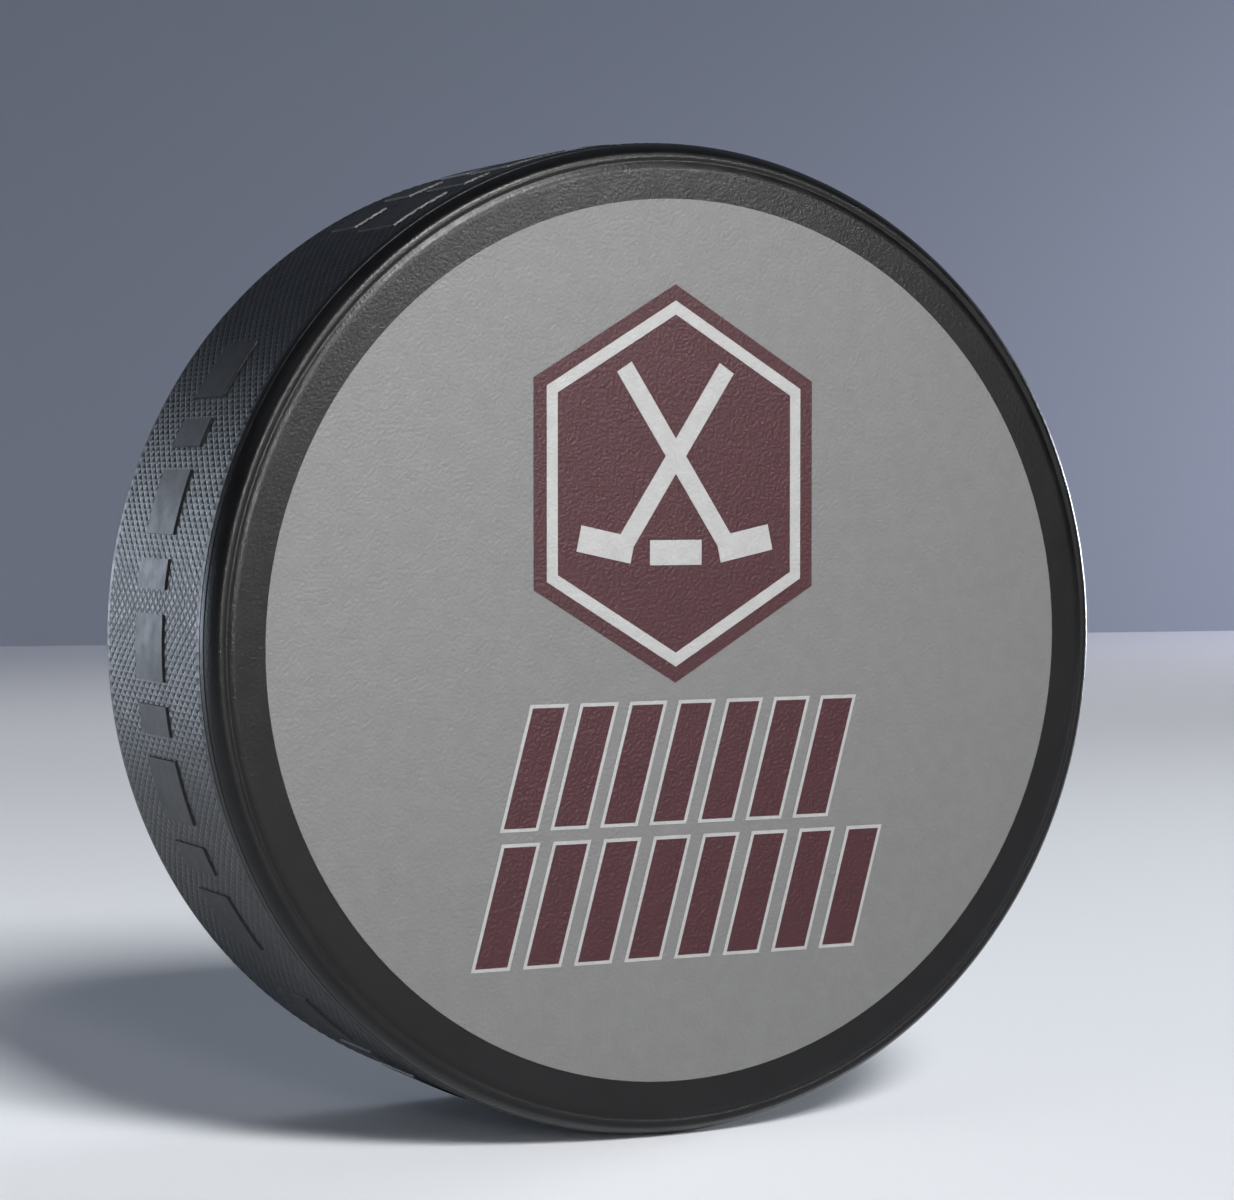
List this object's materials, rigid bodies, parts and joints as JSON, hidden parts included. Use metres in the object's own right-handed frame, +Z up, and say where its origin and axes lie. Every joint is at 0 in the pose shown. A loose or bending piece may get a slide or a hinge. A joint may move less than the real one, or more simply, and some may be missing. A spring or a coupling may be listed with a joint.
{
  "type": "hockey puck",
  "caption": "Regulation ice hockey puck standing on its edge: black rubber disc with a knurled side band, raised pads and a printed front face.",
  "frame": {"origin": "on the ground under the middle of the puck's thickness, where the puck stands on its edge", "axes": "+Z up, +Y from the printed front face to the plain back face along the puck's own axis, +X to the right when the printed face is looked at"},
  "size_m": [0.0762, 0.0255, 0.0761],
  "materials": {
    "rubber": "vulcanised black rubber with a fine leather-like grain, satin on the raised pads",
    "grey_ink": "matt screen ink that follows the grain of the rubber",
    "maroon_ink": "matt screen ink that follows the grain of the rubber",
    "white_ink": "matt screen ink that follows the grain of the rubber"
  },
  "bodies": {
    "root": {"rubber_body": "rubber", "ground_ink": "grey_ink", "badge_ink": "maroon_ink", "badge_line_ink": "white_ink", "emblem_ink": "white_ink", "upper_stripes_outline_ink": "white_ink", "upper_stripes_ink": "maroon_ink", "lower_stripes_outline_ink": "white_ink", "lower_stripes_ink": "maroon_ink"}
  },
  "joints": []
}
